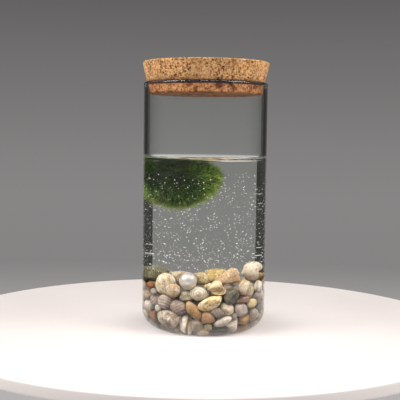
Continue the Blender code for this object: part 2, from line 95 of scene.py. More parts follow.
def ramp(tree, share, stops, steps=False):  # stops of (position, colour or grey value)
    made = addNode(tree, "ValToRGB", {0: share})
    elements = made.color_ramp.elements
    made.color_ramp.interpolation = "CONSTANT" if steps else "LINEAR"
    elements.remove(elements[1])
    elements[0].position = 0.0
    for number, (position, colour) in enumerate(stops):
        element = elements[0] if number == 0 else elements.new(position)
        element.position = position
        element.color = colour if isinstance(colour, tuple) else (colour, colour, colour, 1.0)
    return made.outputs[0]


def mixed(tree, share, first, second, way="MIX"):
    made = addNode(tree, "Mix", data_type="RGBA", blend_type=way)
    plug(tree, made.inputs[0], share)
    plug(tree, made.inputs[6], first)
    plug(tree, made.inputs[7], second)
    return made.outputs[2]


def relief(tree, shader, height, strength, depth):
    bump = addNode(tree, "Bump", {"Strength": strength, "Distance": depth, "Height": height})
    tree.links.new(bump.outputs[0], shader.inputs["Normal"])


def newObject(name, bm, finish):
    mesh = bpy.data.meshes.new(name)
    bm.to_mesh(mesh)
    bm.free()
    mesh.shade_smooth()
    mesh.set_sharp_from_angle(angle=math.radians(45))
    mesh.materials.append(finish)
    made = bpy.data.objects.new(name, mesh)
    bpy.context.scene.collection.objects.link(made)
    return made


def makePiece(name, bm, finish, nodes=()):
    piece = newObject(name, bm, finish)
    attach(piece, "root")
    if nodes:
        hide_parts(*nodes)
    return piece


def turned(profile, steps):  # spins a line of (radius, height) points into a closed form
    bm = bmesh.new()
    verts = [bm.verts.new((radius, 0, height)) for radius, height in profile]
    edges = [bm.edges.new(pair) for pair in zip(verts, verts[1:])]
    bmesh.ops.spin(
        bm, geom=verts + edges, cent=(0, 0, 0), axis=(0, 0, 1), dvec=(0, 0, 0),
        angle=math.tau, steps=steps, use_merge=True, use_duplicate=False,
    )
    bmesh.ops.remove_doubles(bm, verts=bm.verts, dist=0.002 * mm)
    bmesh.ops.recalc_face_normals(bm, faces=bm.faces)
    return bm


def arc(centre, radius, start, end, steps):  # angles in degrees
    angles = [math.radians(start + (end - start) * i / steps) for i in range(steps + 1)]
    return [(centre[0] + radius * math.cos(a), centre[1] + radius * math.sin(a)) for a in angles]


def fine(first, last, spacing):  # a straight run cut into short lengths, without its first point
    count = max(1, round(math.dist(first, last) / spacing))
    return [
        (first[0] + (last[0] - first[0]) * i / count, first[1] + (last[1] - first[1]) * i / count)
        for i in range(1, count + 1)
    ]


def joined(many):  # many small shapes made one
    points, faces = [], []
    for bm in many:
        start = len(points)
        bm.verts.index_update()
        points += [vert.co[:] for vert in bm.verts]
        faces += [[vert.index + start for vert in face.verts] for face in bm.faces]
        bm.free()
    mesh = bpy.data.meshes.new("joined")
    mesh.from_pydata(points, [], faces)
    whole = bmesh.new()
    whole.from_mesh(mesh)
    bpy.data.meshes.remove(mesh)
    return whole


def fitBox(bm, low, high):  # scales and moves a shape to fill a box
    points = np.array([vert.co for vert in bm.verts])
    size = points.max(0) - points.min(0)
    middle = (points.max(0) + points.min(0)) / 2
    bmesh.ops.translate(bm, verts=bm.verts, vec=Vector(-middle))
    bmesh.ops.scale(bm, verts=bm.verts, vec=Vector(np.array(high - low) / size))
    bmesh.ops.translate(bm, verts=bm.verts, vec=(low + high) / 2)


cameraSet = {"place": (0, -0.576, 0.125), "tiltDown": 4.15, "turnLeft": 0.29, "roll": 0.71, "lens": 79.83}


def setCamera():
    data = bpy.data.cameras.new("camera")
    data.lens = cameraSet["lens"]
    data.sensor_width = 36
    camera = bpy.data.objects.new("camera", data)
    bpy.context.scene.collection.objects.link(camera)
    aim = Matrix.Rotation(math.radians(cameraSet["turnLeft"]), 4, "Z")
    tilt = Matrix.Rotation(math.radians(90 - cameraSet["tiltDown"]), 4, "X")
    roll = Matrix.Rotation(math.radians(cameraSet["roll"]), 4, "Z")
    camera.matrix_world = Matrix.Translation(cameraSet["place"]) @ aim @ tilt @ roll
    bpy.context.scene.camera = camera


def aimAt(item, place, target):
    item.location = place
    item.rotation_euler = (Vector(target) - Vector(place)).to_track_quat("-Z", "Y").to_euler()


lampColour = (1.0, 0.965, 0.945)
lampTarget = Vector((0, 0, 0.06))
# azimuth is degrees from the front, growing to the right; height is degrees up
softboxes = {
    "left_softbox": {"azimuth": -68, "height": 42, "distance": 1.0, "size": (0.66, 0.8), "power": 10.3},
    "right_softbox": {"azimuth": 68, "height": 42, "distance": 1.0, "size": (0.66, 0.8), "power": 9.5},
    "front_softbox": {"azimuth": 6, "height": 62, "distance": 1.1, "size": (0.5, 0.4), "power": 3.4},
}


def addSoftboxes():
    for name, box in softboxes.items():
        data = bpy.data.lights.new(name, "AREA")
        data.shape = "RECTANGLE"
        data.size, data.size_y = box["size"]
        data.energy = box["power"]
        data.color = lampColour
        lamp = bpy.data.objects.new(name, data)
        bpy.context.scene.collection.objects.link(lamp)
        side, up = math.radians(box["azimuth"]), math.radians(box["height"])
        way = Vector((math.sin(side) * math.cos(up), -math.cos(side) * math.cos(up), math.sin(up)))
        aimAt(lamp, way * box["distance"] + lampTarget, lampTarget)
        lamp.visible_transmission = False  # its light already reaches the stones straight through


# screen grey of the studio by height above the horizon, in degrees
studioGreys = [(-90, 220), (-28, 232), (-17, 182), (-11, 160), (-8.2, 132), (-4, 134), (-1, 129), (2.3, 119),
               (5.4, 110), (8.2, 99), (14, 72), (22, 48), (90, 42)]


def paintStudio():
    world = bpy.data.worlds.new("studio")
    bpy.context.scene.world = world
    world.use_nodes = True
    tree = world.node_tree
    heading = addNode(tree, "TexCoord").outputs["Generated"]
    height = addNode(tree, "SeparateXYZ", {0: heading}).outputs["Z"]
    share = addNode(tree, "MapRange", {0: height, 1: -1.0, 2: 1.0}).outputs[0]
    stops = []
    for angle, grey in studioGreys:
        red, green, blue, _ = shade(grey * 1.01, grey, grey * 0.995)
        stops.append(((math.sin(math.radians(angle)) + 1) / 2, (red, green, blue, 1.0)))
    colour = ramp(tree, share, stops)
    tree.links.new(colour, tree.nodes["Background"].inputs[0])
    world.cycles.sampling_method = "NONE"


turntable = {
    "middle": (-0.003, 0.018), "radius": 0.1775, "thickness": 0.0072, "edge": 0.0012,
    "white": (244, 237, 234), "offWhite": (240, 233, 230),
}


def layTurntable():
    radius, drop, edge = turntable["radius"], turntable["thickness"], turntable["edge"]
    upper = arc((radius - edge, -edge), edge, 90, 0, 6)
    lower = arc((radius - edge, edge - drop), edge, 0, -90, 6)
    bm = turned([(0, 0)] + upper + lower + [(0, -drop)], 160)
    bmesh.ops.translate(bm, verts=bm.verts, vec=(*turntable["middle"], -0.02 * mm))
    finish, tree, shader = newFinish("table_white", Roughness=0.42, Specular_IOR_Level=0.3)
    mottle = patches(tree, place(tree), 0.03)
    colour = mixed(tree, mottle, shade(*turntable["white"]), shade(*turntable["offWhite"]))
    tree.links.new(colour, shader.inputs["Base Color"])
    newObject("turntable", bm, finish)


# dark cards beside the backdrop, which only the glass and water see
# azimuths are degrees off the line straight back, and each card thins out past "solid" and above "full"
cardDistance = 0.9
darkCards = {
    "low": {"from": 29.8, "solid": 54, "to": 92, "bottom": -0.25, "full": 0.092, "top": 0.092},
    "high": {"from": 19.5, "solid": 54, "to": 92, "bottom": 0.093, "full": 0.21, "top": 0.32},
}


def hangCards():
    finish, tree, shader = newFinish("card_black", Roughness=0.9)
    weave = patches(tree, place(tree), 0.004)
    tree.links.new(mixed(tree, weave, shade(16, 16, 15), shade(22, 21, 20)), shader.inputs["Base Color"])
    # the cards glow faintly, a painted dim grey that stands for the light the dark room around gives back in
    # the glass
    shader.inputs["Emission Color"].default_value = shade(24, 24, 23)
    shader.inputs["Emission Strength"].default_value = 1.0
    cover = addNode(tree, "Attribute", attribute_name="cover").outputs["Fac"]
    tree.links.new(cover, shader.inputs["Alpha"])
    for label, card in darkCards.items():
        for side in (-1, 1):
            bm = bmesh.new()
            start = math.radians(card["from"])
            heights = np.linspace(card["bottom"], card["top"], 13)
            across, back = side * cardDistance * math.sin(start), cardDistance * math.cos(start)
            ends = [bm.verts.new((across, back, height)) for height in heights]
            edges = [bm.edges.new(pair) for pair in zip(ends, ends[1:])]
            bmesh.ops.spin(
                bm, geom=ends + edges, cent=(0, 0, 0), axis=(0, 0, -side), dvec=(0, 0, 0),
                angle=math.radians(card["to"] - card["from"]), steps=48, use_merge=False, use_duplicate=False,
            )
            layer = bm.verts.layers.float.new("cover")
            for vert in bm.verts:
                turn = math.degrees(math.atan2(abs(vert.co.x), vert.co.y))
                past = max(0.0, (turn - card["solid"]) / (card["to"] - card["solid"]))
                above = max(0.0, (vert.co.z - card["full"]) / max(mm, card["top"] - card["full"]))
                vert[layer] = (1 - min(1.0, past)) * (1 - min(1.0, above))
            made = newObject(f"{label}_card_{'left' if side < 0 else 'right'}", bm, finish)
            made.visible_camera = made.visible_diffuse = made.visible_shadow = False


jarLow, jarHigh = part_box("glass_jar")
jar = {
    "radius": (jarHigh.x - jarLow.x) / 2, "height": jarHigh.z,
    "wall": 2.6 * mm, "base": 3.0 * mm, "corner": 13.0 * mm, "steps": 192,
    "ior": 1.47, "tint": (252, 253, 252), "deepTint": (249, 251, 249),
}
water = {  # climb and curl: how high the water creeps up the glass, and how fast that dies away
    "level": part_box("water")[1].z, "climb": 3.0 * mm, "curl": 2.4 * mm, "wetting": 0.1 * mm,
    "edgeShare": 0.24, "rings": 25, "ior": 1.333, "tint": (252, 252, 251), "deepTint": (249, 250, 248),
}
innerRadius = jar["radius"] - jar["wall"]
innerCorner = jar["corner"] - jar["wall"]


def insideLine(inset, top):  # the jar's inside, from the middle of its floor up to a height
    centre = (innerRadius - innerCorner, jar["base"] + innerCorner)
    corner = arc(centre, innerCorner - inset, -90, 0, 16)
    wall = fine(corner[-1], (innerRadius - inset, top), 4 * mm)
    return [(0, jar["base"] + inset)] + corner + wall


def clearFinish(name, style, shine=1.0):  # shine 0 where glass and water meet
    finish, tree, shader = newFinish(name, Transmission_Weight=1.0, IOR=style["ior"], Roughness=0.0)
    shader.inputs["Specular Tint"].default_value = (shine, shine, shine, 1.0)
    smear = patches(tree, place(tree), 0.02, distortion=1.0)
    tint = mixed(tree, smear, shade(*style["tint"]), shade(*style["deepTint"]))
    tree.links.new(tint, shader.inputs["Base Color"])
    return finish


def buildJar():
    lip = jar["wall"] / 2
    rimLevel = jar["height"] - lip
    rim = arc((jar["radius"] - lip, rimLevel), lip, 180, 0, 12)[1:]
    foot = arc((jar["radius"] - jar["corner"], jar["corner"]), jar["corner"], 0, -90, 20)
    outside = fine(rim[-1], foot[0], 4 * mm)[:-1]
    bm = turned(insideLine(0, rimLevel) + rim + outside + foot + [(0, 0)], jar["steps"])
    dry = clearFinish("clear_glass", jar)
    wet = clearFinish("wet_glass", jar, 0.0)
    glass = makePiece("jar_glass", bm, dry, ["glass_jar"])
    glass.data.materials.append(wet)
    for face in glass.data.polygons:
        middle = face.center
        inward = face.normal.dot(Vector((middle.x, middle.y, 0))) < 0 or face.normal.z > 0.5
        if inward and middle.z < water["level"]:
            face.material_index = 1
    glass.visible_shadow = False


def buildWater():
    edge = innerRadius + water["wetting"]  # a hair into the glass, so no air shows between them
    top = []
    for ring in range(water["rings"] + 1):
        inward = water["edgeShare"] * (1 - ring / water["rings"])
        out = edge * (1 - inward) if ring else 0.0
        rise = water["climb"] * math.exp(-(edge - out) / water["curl"])
        top.append((out, water["level"] + rise))
    line = insideLine(-water["wetting"], top[-1][1])[:-1] + list(reversed(top))
    bm = turned(line, jar["steps"])
    finish = clearFinish("still_water", water, 0.0)
    body = makePiece("still_water", bm, finish, ["water"])
    body.visible_shadow = False


corkLow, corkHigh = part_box("cork_stopper")
cork = {
    "head": (corkHigh.x - corkLow.x) / 2, "rim": 38.2 * mm, "foot": 36.7 * mm, "seat": 1.4 * mm,
    "edge": 0.6 * mm, "pit": 0.45 * mm, "grain": 1.1 * mm, "spacing": 0.75 * mm,
    "pale": (240, 194, 138), "warm": (216, 160, 102), "brown": (158, 98, 56), "dark": (84, 44, 28),
    "dampShade": (226, 204, 188), "soaked": (150, 112, 96), "pressedShade": (62, 42, 34),
}


def corkFinish():
    finish, tree, shader = newFinish("ground_cork", Roughness=0.85, Specular_IOR_Level=0.25)
    where = place(tree)
    bent = addNode(tree, "TexNoise", {"Vector": where, "Scale": 700.0, "Detail": 2.0})
    nudge = addNode(tree, "VectorMath", {0: bent.outputs["Color"], 1: (0.7 * mm,) * 3}, operation="MULTIPLY")
    spot = addNode(tree, "VectorMath", {0: where, 1: nudge.outputs[0]}, operation="ADD").outputs[0]
    cells = addNode(tree, "TexVoronoi", {"Vector": spot, "Scale": 1 / cork["grain"], "Randomness": 1.0})
    pick = addNode(tree, "SeparateColor", {0: cells.outputs["Color"]}).outputs[0]
    grain = ramp(tree, pick, [
        (0.0, shade(*cork["brown"])), (0.12, shade(*cork["warm"])), (0.55, shade(*cork["pale"])),
        (0.85, shade(*cork["warm"])), (1.0, shade(*cork["brown"])),
    ])
    flecks = ramp(tree, patches(tree, where, 1.1 * mm, 4.0, 0.6), [(0.52, 0.0), (0.61, 1.0)])
    clumps = ramp(tree, patches(tree, where, 7 * mm, 3.0), [(0.36, 0.35), (0.58, 1.0)])
    stain = ramp(tree, patches(tree, where, 9 * mm, 4.0, 0.5, 0.02), [(0.4, 1.0), (0.65, 0.72)])
    grain = mixed(tree, 1.0, grain, stain, "MULTIPLY")
    share = addNode(tree, "Math", {0: flecks, 1: clumps}, operation="MULTIPLY").outputs[0]
    colour = mixed(tree, share, grain, shade(*cork["dark"]))
    height = addNode(tree, "SeparateXYZ", {0: where}).outputs["Z"]
    rim = jar["height"]
    # below the rim the cork is made darker and redder: damp cork, and painted shade for the shadow the cork's
    # head and the glass rim cast on the plug
    dampShade = addNode(tree, "MapRange", {0: height, 1: rim + 2 * mm, 2: rim - 1 * mm}).outputs[0]
    pools = patches(tree, where, 6 * mm, 5.0, 0.4, 0.05)
    soaked = ramp(tree, pools, [(0.48, 1.0), (0.62, shade(*cork["soaked"]))])
    wet = mixed(tree, 1.0, colour, shade(*cork["dampShade"]), "MULTIPLY")
    wet = mixed(tree, 1.0, wet, soaked, "MULTIPLY")
    colour = mixed(tree, dampShade, colour, wet)
    # painted shade: a dark band on the cork at the glass rim, where the rim presses into the cork and where
    # the gap under the rim lies in shadow
    level = addNode(tree, "MapRange", {0: height, 1: rim - 4 * mm, 2: rim + 4 * mm}).outputs[0]
    line = ramp(tree, level, [(0.2, 0.0), (0.27, 1.0), (0.5, 1.0), (0.57, 0.0)])
    colour = mixed(tree, line, colour, mixed(tree, 1.0, colour, shade(*cork["pressedShade"]), "MULTIPLY"))
    tree.links.new(colour, shader.inputs["Base Color"])
    relief(tree, shader, mixed(tree, share, cells.outputs["Distance"], (0, 0, 0, 1)), 0.6, 0.25 * mm)
    return finish


def buildCork():
    top, bottom, edge, gap = corkHigh.z, corkLow.z, cork["edge"], wallGap
    corners = [
        (0, top), (cork["head"] - edge, top), (cork["head"] - 0.1 * mm, top - edge),
        (cork["rim"], jar["height"] + cork["seat"]), (innerRadius - gap, jar["height"] - cork["seat"]),
        (cork["foot"], bottom + edge), (cork["foot"] - edge, bottom), (0, bottom),
    ]
    line = [corners[0]]
    for first, last in zip(corners, corners[1:]):
        line += fine(first, last, cork["spacing"])
    bm = turned(line, 300)
    bm.normal_update()
    for vert in bm.verts:
        lump = noise.noise(vert.co / (2.2 * mm))
        pit = max(0.0, noise.noise(vert.co / (1.3 * mm) + Vector((7, 3, 9))) - 0.28) * 2.2
        vert.co -= vert.normal * (0.06 * mm * lump + cork["pit"] * min(pit, 1.0) + 0.06 * mm)
    makePiece("cork_stopper_ground", bm, corkFinish(), ["cork_stopper"])


mossLow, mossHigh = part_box("moss_ball")
moss = {
    "widest": 98.2 * mm, "core": 0.9, "strands": 7600, "length": (2.2 * mm, 4.6 * mm),
    "thickness": 0.09 * mm, "lean": 0.5, "seed": 5,
    "deep": (7, 10, 4), "leaf": (16, 27, 6), "fresh": (104, 146, 34), "bright": (184, 206, 96),
    # painted shade on the ball's sides: azimuth in degrees, height from the widest level and reach in mm
    "shadedSides": [(0, -1, 14), (-40, 2, 9), (112, 0, 9), (205, -4, 10), (292, 2, 9)],
}


def mossShape(bm, share):  # a bun: flat crown at the surface, deep round underside
    middle = Vector(((mossLow.x + mossHigh.x) / 2, (mossLow.y + mossHigh.y) / 2, moss["widest"]))
    side = (mossHigh.x - mossLow.x) / 2 * share
    for vert in bm.verts:
        way = vert.co.normalized()
        uneven = 1 + 0.035 * noise.noise(way * 2.3) + 0.03 * noise.noise(way * 6)
        height = (mossHigh.z if way.z > 0 else 2 * middle.z - mossLow.z) - middle.z
        vert.co = middle + Vector((way.x * side, way.y * side, way.z * height * share)) * uneven


def mossFinish(name, strands):
    finish, tree, shader = newFinish(name, Roughness=0.6, Specular_IOR_Level=0.2)
    where = place(tree)
    clumps = patches(tree, where, 5 * mm, 3.0)
    if strands:
        # the tip attribute also carries the painted shade of the ball's sides
        share = addNode(tree, "Attribute", attribute_name="tip").outputs["Fac"]
        colour = ramp(tree, share, [
            (0.0, shade(*moss["leaf"])), (0.7, shade(*moss["fresh"])), (1.0, shade(*moss["bright"])),
        ])
        colour = mixed(tree, ramp(tree, clumps, [(0.4, 0.0), (0.65, 0.7)]), colour, shade(*moss["leaf"]))
    else:
        colour = mixed(tree, clumps, shade(*moss["deep"]), shade(*moss["leaf"]))
    tree.links.new(colour, shader.inputs["Base Color"])
    return finish


def buildMoss():
    bm = bmesh.new()
    bmesh.ops.create_icosphere(bm, subdivisions=6, radius=1.0)
    mossShape(bm, moss["core"])
    bm.normal_update()
    for vert in bm.verts:
        vert.co += vert.normal * 0.5 * mm * noise.noise(vert.co / (1.1 * mm))
    core = makePiece("moss_core", bm, mossFinish("moss_dark", False), ["moss_ball"])

    rng = np.random.default_rng(moss["seed"])
    curve = bpy.data.curves.new("strands", "CURVE")
    curve.dimensions = "3D"
    curve.bevel_depth = moss["thickness"]
    curve.bevel_resolution = 0
    verts = core.data.vertices
    picks = rng.choice(len(verts), moss["strands"], replace=False)
    for index in picks:
        root, way = verts[index].co.copy(), verts[index].normal.copy()
        lean = Vector(rng.normal(size=3)) * moss["lean"]
        lean -= way * lean.dot(way)
        reach = rng.uniform(*moss["length"])
        if root.z > moss["widest"] + 8 * mm:
            reach *= 0.4
        spline = curve.splines.new("POLY")
        spline.points.add(3)
        for step, point in enumerate(spline.points):
            share = step / 3
            spot = root + (way * share + lean * share ** 2 * 0.9) * reach
            out = math.hypot(spot.x, spot.y)
            if out > innerRadius - 0.2 * mm:  # the ball rests against the glass
                spot.xy = spot.xy * (innerRadius - 0.2 * mm) / out
            spot.z = min(spot.z, water["level"] + 1.5 * mm)
            point.co = (*spot, 1)
            point.radius = 1 - 0.75 * share
    holder = bpy.data.objects.new("strands", curve)
    bpy.context.scene.collection.objects.link(holder)
    mesh = bpy.data.meshes.new_from_object(holder)
    bpy.data.objects.remove(holder)
    bm = bmesh.new()
    bm.from_mesh(mesh)
    layer = bm.verts.layers.float.new("tip")
    middle = Vector((mossLow + mossHigh) / 2)
    middle.z = moss["widest"]
    side = (mossHigh.x - mossLow.x) / 2
    for vert in bm.verts:
        flat = vert.co - middle
        flat.z *= 1.1
        fresh = min(1.0, max(0.0, (flat.length / side - 0.85) / 0.14))
        # painted shade: the strands grow darker round each shaded side
        for azimuth, height, reach in moss["shadedSides"]:
            turn = math.radians(azimuth)
            spot = Vector((math.sin(turn) * side, -math.cos(turn) * side, height * mm))
            fresh *= 1 - 0.85 * math.exp(-((flat - spot).length / (reach * mm)) ** 2)
        vert[layer] = fresh
    makePiece("moss_strands", bm, mossFinish("moss_fresh", True))


def look(slot, main, second, **more):
    return {"slot": slot, "main": main, "second": second, "smoothing": 10, "rough": 0.5, **more}


# main and second colours in patches, and a vein, specks, a stripe or a clear share where a stone has one
# smoothing is how many rounds wear its edges, and dent is a hollow as pressDent reads it
stones = {
    "white_veined_pebble": look("white_stone", (200, 189, 170), (176, 160, 132),
                                vein=(150, 118, 66), veinSize=9),
    "tan_nugget": look("tan_stone", (198, 184, 166), (170, 146, 112), vein=(138, 100, 62), veinSize=6),
    "crystal_chip": look("white_stone", (176, 164, 150), (128, 116, 82), clear=0.3, smoothing=3, rough=0.25,
                         vein=(90, 80, 58), veinSize=4),
    "charcoal_cobble": look("charcoal_stone", (96, 88, 76), (62, 58, 50),
                            specks=(134, 124, 104), smoothing=4),
    "yellow_quartz": look("yellow_stone", (206, 176, 118), (222, 206, 174),
                          clear=0.25, smoothing=3, rough=0.3,
                          vein=(136, 92, 44), veinSize=5),
    "russet_chip": look("brown_stone", (112, 84, 68), (136, 112, 94), smoothing=4),
    "beige_cobble": look("tan_stone", (184, 168, 146), (158, 140, 114), vein=(130, 106, 78), veinSize=7),
    "amber_finger": look("ochre_stone", (138, 98, 56), (168, 138, 102), smoothing=8, rough=0.35),
    "left_striped_pebble": look("mauve_stone", (150, 134, 124), (132, 116, 106),
                                stripe=(116, 100, 90), turn=40),
    "middle_striped_pebble": look("mauve_stone", (174, 158, 146), (152, 136, 124),
                                  stripe=(128, 112, 100), turn=-20),
    "right_striped_pebble": look("mauve_stone", (148, 130, 118), (130, 112, 100),
                                 stripe=(114, 96, 86), turn=25),
    "brown_wedge": look("brown_stone", (122, 84, 50), (98, 66, 40), smoothing=4),
    "notched_cobble": look("grey_stone", (184, 172, 158), (146, 130, 112), smoothing=5, vein=(96, 74, 50),
                           veinSize=8, dent=(-37, 37, 13.0, 2.6, 1.6)),
    "ochre_striped_pebble": look("white_stone", (226, 218, 204), (210, 198, 176), stripe=(140, 102, 52),
                                 stripeSize=6, turn=78, sharp=True),
    "tan_slip": look("tan_stone", (158, 144, 126), (136, 120, 102)),
    "pink_block": look("ochre_stone", (136, 98, 68), (152, 118, 90), smoothing=4),
    "cream_toe": look("cream_stone", (224, 204, 176), (204, 182, 150), specks=(170, 140, 106)),
    "grey_oval": look("mauve_stone", (132, 118, 108), (112, 98, 90), stripe=(100, 86, 78), turn=-60),
    "cream_round": look("cream_stone", (186, 170, 148), (166, 148, 126), specks=(144, 120, 94)),
    "mauve_round": look("mauve_stone", (162, 147, 139), (142, 127, 120)),
    "cream_flake": look("white_stone", (200, 188, 174), (180, 166, 148), smoothing=5),
    "rough_charcoal": look("charcoal_stone", (86, 84, 80), (58, 58, 56),
                           specks=(126, 124, 118), smoothing=3),
    "speckled_wedge": look("cream_stone", (218, 204, 192), (200, 184, 170),
                           specks=(146, 118, 102), smoothing=6),
    "golden_chip": look("ochre_stone", (152, 116, 70), (130, 94, 54), smoothing=4, rough=0.35),
    "low_brown_pebble": look("ochre_stone", (146, 106, 64), (122, 86, 52)),
    "yellow_pip": look("yellow_stone", (190, 170, 126), (170, 148, 104), clear=0.2),
    "orange_corner_stone": look("ochre_stone", (130, 88, 54), (104, 68, 40), smoothing=4),
    "pale_side_pebble": look("cream_stone", (190, 180, 164), (170, 158, 142)),
    "low_side_pebble": look("mauve_stone", (116, 108, 106), (100, 92, 90)),
    "left_side_chip": look("tan_stone", (148, 126, 104), (128, 106, 84), smoothing=4),
    "right_grey_pebble": look("mauve_stone", (162, 148, 136), (142, 128, 116)),
    "right_tan_pebble": look("tan_stone", (156, 140, 120), (138, 120, 100)),
    "right_side_chip": look("grey_stone", (118, 112, 108), (96, 90, 86), smoothing=4),
    "olive_boulder": look("olive_stone", (98, 92, 68), (56, 54, 40),
                          specks=(142, 136, 108), smoothing=5, rough=0.3),
    "brown_backing_stone": look("brown_stone", (142, 122, 100), (118, 98, 78)),
    "small_yellow_stone": look("yellow_stone", (188, 174, 138), (162, 144, 102), clear=0.15,
                               vein=(112, 88, 48), veinSize=5),
    "large_yellow_stone": look("yellow_stone", (166, 142, 88), (138, 114, 64), clear=0.15,
                               vein=(196, 182, 140), veinSize=6),
    "left_back_stone": look("cream_stone", (176, 162, 138), (156, 140, 114)),
    "middle_back_stone": look("mauve_stone", (152, 138, 128), (130, 116, 106)),
    "right_back_stone": look("tan_stone", (160, 136, 98), (138, 112, 78), smoothing=5),
    "triangular_fragment": look("tan_stone", (184, 158, 128), (158, 130, 98),
                                specks=(132, 102, 70), smoothing=5,
                                dent=(22, 20, 38.5, 1.0, 1.2)),
}


def stoneFinish(name, style, number):
    finish, tree, shader = newFinish(name + "_stone", Roughness=style["rough"], Specular_IOR_Level=0.14)
    where = place(tree)
    if style.get("clear"):
        shader.inputs["Subsurface Weight"].default_value = style["clear"]
        shader.inputs["Subsurface Radius"].default_value = (1.0, 0.8, 0.5)
        shader.inputs["Subsurface Scale"].default_value = 2 * mm
    cloud = patches(tree, where, 4 * mm, 4.0, 0.4, number * 0.013)
    cloud = ramp(tree, cloud, [(0.38, 0.0), (0.62, 1.0)])
    colour = mixed(tree, cloud, shade(*style["main"]), shade(*style["second"]))
    if "stripe" in style:
        turn = math.radians(style["turn"])
        lie = addNode(tree, "Mapping", {"Vector": where, "Rotation": (0.3, turn, 0.4)})
        bands = addNode(tree, "TexWave", {
            "Vector": lie.outputs[0], "Scale": waveScale / (style.get("stripeSize", 1.7) * mm),
            "Distortion": 2.2, "Detail": 2.0, "Detail Scale": 1.2,
        }, bands_direction="Z").outputs["Fac"]
        stops = [(0.8, 0.0), (0.93, 1.0)] if style.get("sharp") else [(0.35, 0.0), (0.8, 0.85)]
        colour = mixed(tree, ramp(tree, bands, stops), colour, shade(*style["stripe"]))
    if "vein" in style:
        streak = patches(tree, where, style["veinSize"] * mm, 3.0, 0.8, number * 0.031)
        line = ramp(tree, streak, [(0.47, 0.0), (0.5, 0.9), (0.53, 0.0)])
        colour = mixed(tree, line, colour, shade(*style["vein"]))
    if "specks" in style:
        dots = ramp(tree, patches(tree, where, 0.7 * mm, 3.0), [(0.56, 0.0), (0.64, 0.9)])
        colour = mixed(tree, dots, colour, shade(*style["specks"]))
    grain = patches(tree, where, 0.45 * mm, 5.0)
    tone = ramp(tree, grain, [(0.3, 0.74), (0.55, 1.24), (0.7, 1.44)])
    blotch = ramp(tree, patches(tree, where, 1.6 * mm, 3.0, 0.6, number * 0.021), [(0.35, 0.78), (0.6, 1.05)])
    colour = mixed(tree, 1.0, mixed(tree, 1.0, colour, blotch, "MULTIPLY"), tone, "MULTIPLY")
    tree.links.new(colour, shader.inputs["Base Color"])
    relief(tree, shader, grain, 0.55, 0.25 * mm)
    return finish


def hullOf(name):  # outward faces of a CAD solid's hull: normals and how far each lies from the origin
    bm = bmesh.new()
    bm.from_mesh(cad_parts[name].data)
    bmesh.ops.remove_doubles(bm, verts=bm.verts, dist=0.01 * mm)
    bmesh.ops.convex_hull(bm, input=bm.verts)
    bm.normal_update()
    points = np.array([vert.co for vert in bm.verts])
    normals = np.array([face.normal for face in bm.faces if face.calc_area() > 1e-9])
    bm.free()
    return normals, (points @ normals.T).max(0)


def soften(bm):
    bmesh.ops.smooth_vert(bm, verts=bm.verts, factor=0.5, use_axis_x=True, use_axis_y=True, use_axis_z=True)


def packTo(bm, centre, normals, offsets, rounds):  # swells a ball until it meets the flats round it
    ways = np.array([vert.co.normalized() for vert in bm.verts])
    facing = np.clip(ways @ normals.T, 1e-6, None)
    reach = (offsets / facing).min(1)
    for vert, point in zip(bm.verts, ways * reach[:, None] + centre):
        vert.co = point
    for _ in range(rounds):
        soften(bm)


def weather(bm, swell, grain, shift):  # uneven wear over a stone
    bm.normal_update()
    for vert in bm.verts:
        spot = vert.co + shift
        rise = swell * noise.noise(spot / (3.5 * mm)) + grain * noise.noise(spot / (1.1 * mm))
        vert.co += vert.normal * rise


def pressDent(bm, dent):  # azimuth, radius and height of a hollow, its width and depth
    azimuth, radius, height, width, depth = dent
    turn = math.radians(azimuth)
    spot = Vector((radius * math.sin(turn), -radius * math.cos(turn), height)) * mm
    nearest = min(bm.verts, key=lambda vert: (vert.co - spot).length)
    spot, way = nearest.co.copy(), nearest.normal.copy()
    for vert in bm.verts:
        near = (vert.co - spot).length / (width * mm)
        if near < 1:
            vert.co -= way * depth * mm * (1 - near * near) ** 2


# apart keeps two stones from having the same bumps
wear = {"swell": 0.22 * mm, "grain": 0.06 * mm, "apart": 11 * mm}


def buildStones():
    for number, (name, style) in enumerate(stones.items()):
        low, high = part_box(name)
        normals, heights = hullOf(name)
        centre = np.array((low + high) / 2)
        bm = bmesh.new()
        bmesh.ops.create_icosphere(bm, subdivisions=5, radius=1.0)
        packTo(bm, centre, normals, heights - normals @ centre, style["smoothing"])
        weather(bm, wear["swell"], wear["grain"], Vector((number * wear["apart"], 0, 0)))
        if "dent" in style:
            bm.normal_update()
            pressDent(bm, style["dent"])
        fitBox(bm, low, high)
        makePiece(name + "_detail", bm, stoneFinish(name, style, number), [name])


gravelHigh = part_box("gravel_bed")[1]
gravel = {
    "front": 28.5 * mm, "back": 30.5 * mm, "sizes": (4.6, 3.8, 3.0, 2.2), "tries": 60000, "seed": 11,
    "crowding": 0.86,  # how near two seeds may lie, as a share of their sizes
    "wallDepth": 15 * mm, "topDepth": 10 * mm,
    "colours": [
        (178, 164, 144), (146, 132, 122), (162, 142, 114), (190, 182, 168), (140, 104, 68),
        (128, 116, 106), (170, 152, 112), (108, 84, 64), (156, 146, 132), (90, 88, 80),
    ],
}


def gravelTop(y):
    share = (y + innerRadius) / (2 * innerRadius)
    return gravel["front"] + (gravel["back"] - gravel["front"]) * share


def jarFlats(points):  # how far each point is from the glass, flat by flat, and the flats' directions
    radius = np.hypot(points[:, 0], points[:, 1])
    out = np.stack([points[:, 0], points[:, 1], np.zeros(len(points))], 1) / np.maximum(radius, 1e-6)[:, None]
    ways, rooms = [], []
    centre = (innerRadius - innerCorner, jar["base"] + innerCorner)
    for degrees in (0, 25, 50, 70, 90):
        angle = math.radians(degrees)
        way = out * math.cos(angle) - np.array((0, 0, math.sin(angle)))
        limit = centre[0] * math.cos(angle) - centre[1] * math.sin(angle) + innerCorner - wallGap
        rooms.append(limit - (radius * math.cos(angle) - points[:, 2] * math.sin(angle)))
        ways.append(way)
    return np.stack(ways, 1), np.stack(rooms, 1)


